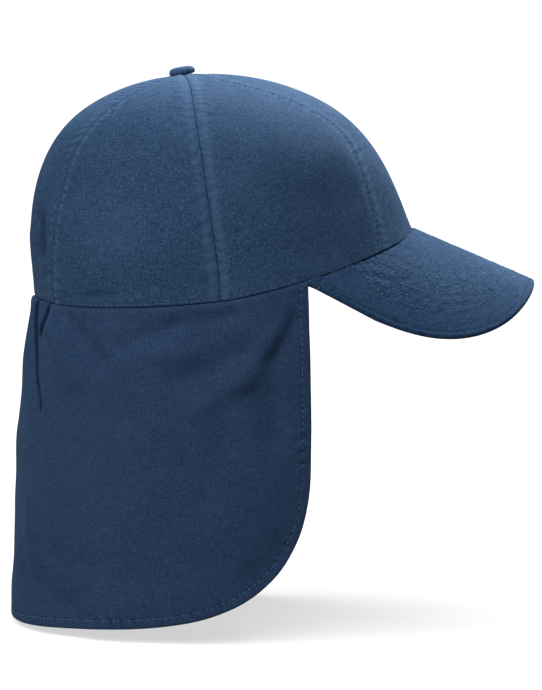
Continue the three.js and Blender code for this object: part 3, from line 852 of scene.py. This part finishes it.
# soft folds, with lengths as shares of the flap's drop
flapFolds = dict(
    angle=[-171, -157, -143, -128, -150, -120, -104, -110, -104, -96, -84, -69, -75, -86, -74, -156, -158,
           180, 170, 162, 148, 152, 122, 108, 98, 71, 112, 160],
    at=[0.02, 0.28, 0.02, 0.15, 0.07, 0.1, 0.04, 0.13, 0.21, 0.28, 0.2, 0.02, 0.14, 0.27, 0.72, 0.6, 0.82,
        0.03, 0.04, 0.02, 0.03, 0.12, 0.08, 0.24, 0.32, 0.04, 0.5, 0.55],
    toAngle=[-157, -154, -128, -119, -138, -104, -86, -98, -84, -84, -72, -75, -75, -94, -80, -155, -138,
             178, 167, 156, 130, 141, 92, 86, 73, 75, 104, 158],
    toAt=[0.28, 0.42, 0.15, 0.32, 0.21, 0.04, 0.01, 0.11, 0.12, 0.2, 0.03, 0.14, 0.38, 0.57, 0.8, 0.8,
          0.92, 0.34, 0.22, 0.3, 0.24, 0.3, 0.02, 0.14, 0.05, 0.36, 0.86, 0.9],
    half=[0.03, 0.034, 0.03, 0.045, 0.035, 0.03, 0.025, 0.032, 0.04, 0.04, 0.035, 0.028, 0.045, 0.06,
          0.05, 0.04, 0.06, 0.032, 0.03, 0.032, 0.036, 0.04, 0.03, 0.042, 0.04, 0.036, 0.07, 0.05],
    depth=[-0.01, -0.014, -0.015, -0.012, 0.012, -0.011, -0.009, 0.009, -0.011, 0.011, 0.013, -0.014, -0.012,
           -0.01, -0.012, 0.01, -0.012, -0.018, 0.01, -0.02, -0.014, 0.012, -0.01, -0.011, 0.012, -0.012,
           -0.012, 0.012])


# length along the rim from the flap's front edge, for angles from there to the back
def rimLengthTable():
    angles = np.linspace(flap["frontAngle"], 180, 600)
    return angles, runningLength(rimPoint(angles)[..., :2], 0)


rimAngles, rimLengths = rimLengthTable()
flapHalf = rimLengths[-1]


# height of the hem: it rises a little to the front and turns up into the front edge on a
# superellipse
def hemHeight(fromFront):
    level = -flapDrop * (1 - flap["hemRise"] * (1 - fromFront / flapHalf))
    cornerTop = -flapDrop * (1 - flap["hemRise"]) + flap["cornerHeight"]
    inCorner = np.maximum(1 - fromFront / flap["cornerWidth"], 0)
    n = flap["cornerRoundness"]
    return mix(cornerTop, level, (1 - inCorner**n) ** (1 / n))


# outer face of the flap: it flares out fast below the rim and then hangs, with its folds on top
def flapFace(angle, height, rimHeight):
    below = np.maximum(rimHeight - height - clearance, 0)
    backShare = smoothStep(angleAway(angle), flap["backFrom"], 180)
    flare = mix(flap["sideFlare"], flap["backFlare"], backShare) * (below / flapDrop) ** flap["flareCurve"]
    relief = flap["foldGain"] * foldRelief(flapFolds, angle, -height / flapDrop, flapDrop)
    fromFront = np.interp(angleAway(angle), rimAngles, rimLengths)
    relief = relief * smoothStep(below, 0, flap["foldFade"]) * smoothStep(fromFront, 0, flap["edgeStill"])
    slits = foldRelief(flapSlits, angle, -height / flapDrop, flapDrop) * smoothStep(below, 0, 1.5 * mm)
    # at the back the hem curls in
    low = np.clip(1 - (height + flapDrop) / flap["curlHeight"], 0, 1)
    curl = flap["curl"] * (1 - np.sqrt(1 - low**2)) * smoothStep(angleAway(angle), 125, 165)
    out = flare + relief + slits - curl - crown["wall"] - flap["tuckClearance"]
    point = rimPoint(angle)
    point[..., 2] = height
    return point + outward(angle) * out[..., None]


# the flap: its face and the part tucked inside the crown, with sways, hem and gathers added along
# the normal
def makeFlap():
    # columns an even length apart along the outline, so that they crowd in the rounded corners
    fine = np.linspace(0, flapHalf, 6000)
    steepness = np.minimum(np.abs(np.diff(hemHeight(fine)) / np.diff(fine)), flap["steepest"])
    outlineLength = np.concatenate([[0], np.cumsum(np.hypot(1, steepness) * np.diff(fine))])
    count = int(outlineLength[-1] / flap["columnSpacing"])
    fromFront = np.interp(np.linspace(0, outlineLength[-1], count + 1), outlineLength, fine)
    half = np.interp(fromFront, rimLengths, rimAngles)
    angle = np.concatenate([half, 360 - half[:-1][::-1]])
    fromFront = np.concatenate([fromFront, fromFront[:-1][::-1]])
    place = np.concatenate([fromFront[:count + 1], 2 * flapHalf - fromFront[count + 1:]])
    rimHeight = rimPoint(angle)[:, 2]
    share = 1 - np.linspace(0, 1, flap["rows"] + 1) ** flap["rowCrowding"]   # from the hem up to the rim
    height = mix(rimHeight[:, None], hemHeight(fromFront)[:, None], share[None])
    angles = angle[:, None] + 0 * height
    face = flapFace(angles, height, rimHeight[:, None])
    # cloth tucked up inside the crown
    t = np.linspace(0, 1, flap["tuckRows"] + 1)[1:] * (
        flap["tuck"] / (4 * crown["height"] * meridian("rimPull", angle)))[:, None]
    tucked = domePoint(angle[:, None], t) - outward(angle)[:, None] * (crown["wall"] + flap["tuckClearance"])
    smooth = np.concatenate([face, tucked], 1)
    normal = gridNormal(smooth)
    # distance from the outline on the flat cloth, for the hem
    flat = np.stack([place[:, None] + 0 * smooth[..., 2], smooth[..., 2]], -1)
    outline = np.concatenate([[[0, rimHeight[0]]], flat[:, 0], [[2 * flapHalf, rimHeight[-1]]]])
    fromEdge, alongEdge = distanceToLine(flat, outline)
    below = rimHeight[:, None] - smooth[..., 2]
    fine = flap["sway"] * softNoise(flat[..., 0], flat[..., 1], flap["swayLength"], 71)
    broad = softNoise(flat[..., 0] * 1.5, flat[..., 1] * 0.6, flap["broadLength"], 72)
    fine = (fine + flap["broadSway"] * broad) * smoothStep(below, 1 * mm, 14 * mm)
    width = hem["width"]
    band = hem["step"] * smoothStep(fromEdge, 0, 1 * mm) * (1 - smoothStep(fromEdge, width - 1 * mm, width))
    band = band - hem["roll"] * bell(fromEdge, 0, 0.45 * mm)
    sewn = -hem["groove"] * bell(fromEdge, width, 0.6 * mm)
    wander = 1.7 * softNoise(alongEdge, 0 * alongEdge, 30 * mm, 73)
    wave = np.sin(math.tau * (alongEdge + 0.4 * fromEdge) / hem["puckerLength"] + wander)
    wave = wave * (0.6 + 0.5 * softNoise(alongEdge, 0 * alongEdge, 45 * mm, 74))
    sewn = sewn + hem["pucker"] * wave * bell(fromEdge, width, hem["puckerReach"])
    gather = softNoise(flat[..., 0], flat[..., 1] * gathers["stretch"], gathers["length"], 75)
    gather = gather * bell(below, 0, gathers["reach"]) * smoothStep(below, 0.5 * mm, 4 * mm)
    gather = gather * mix(gathers["aside"], 1, smoothStep(angleAway(angles[:, :1]), 120, 150))
    gather = gather * smoothStep(fromFront[:, None], 0, flap["edgeStill"])
    sewn = sewn * smoothStep(below, 0, 2 * mm) + gathers["height"] * gather
    # just under the crown's edge the flap comes out level with it
    fill = flap["topFill"] * smoothStep(below, 0.1 * mm, 0.9 * mm) * bell(below, 0, 4 * mm)
    fine = fine + band + fill
    outer = smooth + normal * (fine + sewn)[..., None]
    turned = smoothStep(fromEdge, 0, 0.8 * mm) * (1 - smoothStep(fromEdge, width, width + 1 * mm))
    thick = flap["wall"] + hem["thickness"] * turned * smoothStep(below, 1 * mm, 3 * mm)
    inner = smooth + normal * (fine - thick + 0.5 * sewn)[..., None]
    # ridge paints shade into the slits and the hem's groove, and a highlight on the hem's puckers and the
    # gathers
    slits = foldRelief(flapSlits, angle[:, None], -smooth[..., 2] / flapDrop, flapDrop)
    ridge = np.clip(sewn / flap["reliefShade"] + slits / flap["slitShade"], -1, 1)
    piece = clothPiece("neck_flap_cloth", outer, inner, flat, ridge, flapMaterial, "flap_cloth", "neck_flap")
    faceNormal = gridNormal(outer)
    # the hem's line goes round from one front edge to the other like the hand of a clock
    order = np.arctan2(flat[..., 0] - flapHalf, -0.3 * flapDrop - flat[..., 1])
    shown = np.flatnonzero((below > 1 * mm).all(0))
    grids = (outer, faceNormal, fromEdge, order)
    points, normals, distance, order = (g[:, :shown[-1] + 1] for g in grids)
    stitches = stitchPiece("hem_stitches", [lineWhere(points, normals, distance, width, order)])


makeFlap()
print("flap made")


# top button
button = dict(radius=6.95 * mm, height=4.4 * mm, edgeHeight=1.5 * mm, tilt=9.5, lift=0.1 * mm,
              stemRadius=2.3 * mm, stemLength=3 * mm, sides=96, rows=30, tucks=14, tuckDepth=0.14 * mm,
              tuckAt=0.7 * mm, tuckReach=1.0 * mm)
# underside, from the stem out: shares of the radius and heights
buttonUnder = dict(radius=[0.72, 0.88, 0.97], height=[0.0, 0.25 * mm, 0.8 * mm])


# covered button: a low superelliptic dome turned about its stem, with small tucks, a sine round it,
# where the cloth is drawn round its edge
def makeButton():
    turnUp = np.linspace(0, math.pi / 2, button["rows"] + 1)
    radius, depth = button["radius"], button["stemLength"]
    stem = [[0.0, -depth], [button["stemRadius"], -depth], [button["stemRadius"], 0.0]]
    under = np.stack([np.array(buttonUnder["radius"]) * radius, buttonUnder["height"]], -1)
    rise = button["height"] - button["edgeHeight"]
    up = button["edgeHeight"] + np.sin(turnUp) ** 0.85 * rise
    dome = np.stack([np.cos(turnUp) ** 0.55 * radius, up], -1)
    profile = np.concatenate([stem, under, dome])
    turn = np.linspace(0, math.tau, button["sides"], endpoint=False)[:, None]
    edge = bell(profile[:, 1], button["tuckAt"], button["tuckReach"]) * (profile[:, 0] > 0.7 * radius)
    tuck = button["tuckDepth"] * edge * np.sin(button["tucks"] * turn + 0.8 * np.sin(3 * turn))
    r = profile[:, 0] + tuck
    local = np.stack([r * np.cos(turn), r * np.sin(turn), profile[:, 1] + 0 * turn], -1)
    tilt = math.radians(button["tilt"])
    x = local[..., 0] * math.cos(tilt) - local[..., 2] * math.sin(tilt)
    z = local[..., 0] * math.sin(tilt) + local[..., 2] * math.cos(tilt)
    seat = topPoint + np.array([0, 0, button["lift"]])
    points = np.stack([x, local[..., 1], z], -1) + seat
    columns, rows = points.shape[:2]
    index = np.arange(columns * rows).reshape(columns, rows)
    quads = gridQuads(np.concatenate([index, index[:1]]))
    uv = np.stack([local[..., 0], local[..., 1]], -1)
    # painted highlight on the tucks' crests and painted shade in their hollows
    ridge = np.clip(tuck / button["tuckDepth"], -1, 1)
    piece = makeMesh("top_button_cloth", points, quads, uv=uv.reshape(-1, 2), values={"ridge": ridge})
    finishPiece(piece, buttonMaterial, "top_button")


makeButton()
print("button made")


# floor, light and camera
studio = dict(floorSize=60.0, floorColor=(0.95, 0.95, 0.955, 1), world=0.16, backdrop=1.1, floorGap=0.5 * mm,
              sky=0.8, skyAngle=100.0, skyFrom=(-0.3, -0.36, 1.0), fill=3.3)
# soft lamps on the cap alone: power, size and place
lamps = dict(name=["top", "edge", "key", "side", "front"], power=[16.5, 18.5, 12.0, 3.2, 3.3],
             size=[0.8, 0.5, 0.6, 0.5, 0.5], onto=["cap", "cap", "cap", "flap", "flap"],
             at=[(0.08, 0.52, 0.9), (0.45, 0.6, 0.75), (-0.45, -0.95, 0.75), (-1.15, -0.55, 0.15),
                 (1.1, -0.5, -0.05)])


def aimAt(thing, place, target):
    thing.location = place
    thing.rotation_euler = (Vector(target) - Vector(place)).to_track_quat("-Z", "Y").to_euler()


def makeFloor():
    half = studio["floorSize"] / 2
    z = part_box("neck_flap")[0].z - studio["floorGap"]
    corners = [[-half, -half, z], [half, -half, z], [half, half, z], [-half, half, z]]
    floor = makeMesh("studio_floor", corners, [[0, 1, 2, 3]])
    material, tree, shader, body = startMaterial("pale floor")
    grain = spreadNode(tree, noiseNode(tree, body, 3.0), 0.3, 0.7)
    tint = studio["floorColor"]
    color = mixColors(tree, grain, tint, tuple(c * 0.985 for c in tint[:3]) + (1,))
    feed(tree, shader, **{"Base Color": color, "Roughness": 0.95, "Specular IOR Level": 0.0})
    floor.data.materials.append(material)
    floor.visible_diffuse = False   # keeps its white off the dark cloth
    floor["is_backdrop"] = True


def makeLights():
    world = bpy.data.worlds.new("studio")
    scene.world = world
    world.use_nodes = True
    tree = world.node_tree
    background = tree.nodes["Background"]
    background.inputs["Color"].default_value = (1, 1, 1, 1)
    seen = tree.nodes.new("ShaderNodeLightPath").outputs["Is Camera Ray"]
    strength = spreadNode(tree, seen, 0.0, 1.0, studio["world"], studio["backdrop"])
    tree.links.new(strength, background.inputs["Strength"])
    ground = bpy.data.collections.new("lit floor")
    ground.objects.link(bpy.data.objects["studio_floor"])
    for name in ("sky", "fill"):   # wide and soft, for the floor's brightness; the fill throws no shadow
        sun = bpy.data.lights.new(name, "SUN")
        sun.energy = studio[name]
        sun.angle = math.radians(studio["skyAngle"])
        sun.use_shadow = name == "sky"
        holder = bpy.data.objects.new(name, sun)
        aimAt(holder, studio["skyFrom"], (0, 0, 0))
        holder.light_linking.receiver_collection = ground
        scene.collection.objects.link(holder)
    lit = dict(cap=bpy.data.collections.new("lit cap"), flap=bpy.data.collections.new("lit flap"))
    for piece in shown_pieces():
        lit["cap"].objects.link(piece)
        if piece.name in ("neck_flap_cloth", "hem_stitches"):
            lit["flap"].objects.link(piece)
    for name, power, size, onto, at in zip(*lamps.values()):
        lamp = bpy.data.lights.new(name, "AREA")
        lamp.energy = power
        lamp.size = size
        holder = bpy.data.objects.new(name, lamp)
        aimAt(holder, at, (0, 0, 0.03))
        holder.light_linking.receiver_collection = lit[onto]
        scene.collection.objects.link(holder)


view = dict(target=(25.4 * mm, 0, -22.7 * mm), distance=1.8, elevation=4.5, lens=174.1)


def makeCamera():
    data = bpy.data.cameras.new("camera")
    data.lens = view["lens"]
    data.sensor_width = 36
    data.clip_end = 50
    camera = bpy.data.objects.new("camera", data)
    rise = math.radians(view["elevation"])
    back = np.array([0, -math.cos(rise), math.sin(rise)]) * view["distance"]
    aimAt(camera, np.array(view["target"]) + back, view["target"])
    scene.collection.objects.link(camera)
    scene.camera = camera


makeFloor()
makeLights()
makeCamera()
scene.view_settings.view_transform = "Standard"
print("studio made")
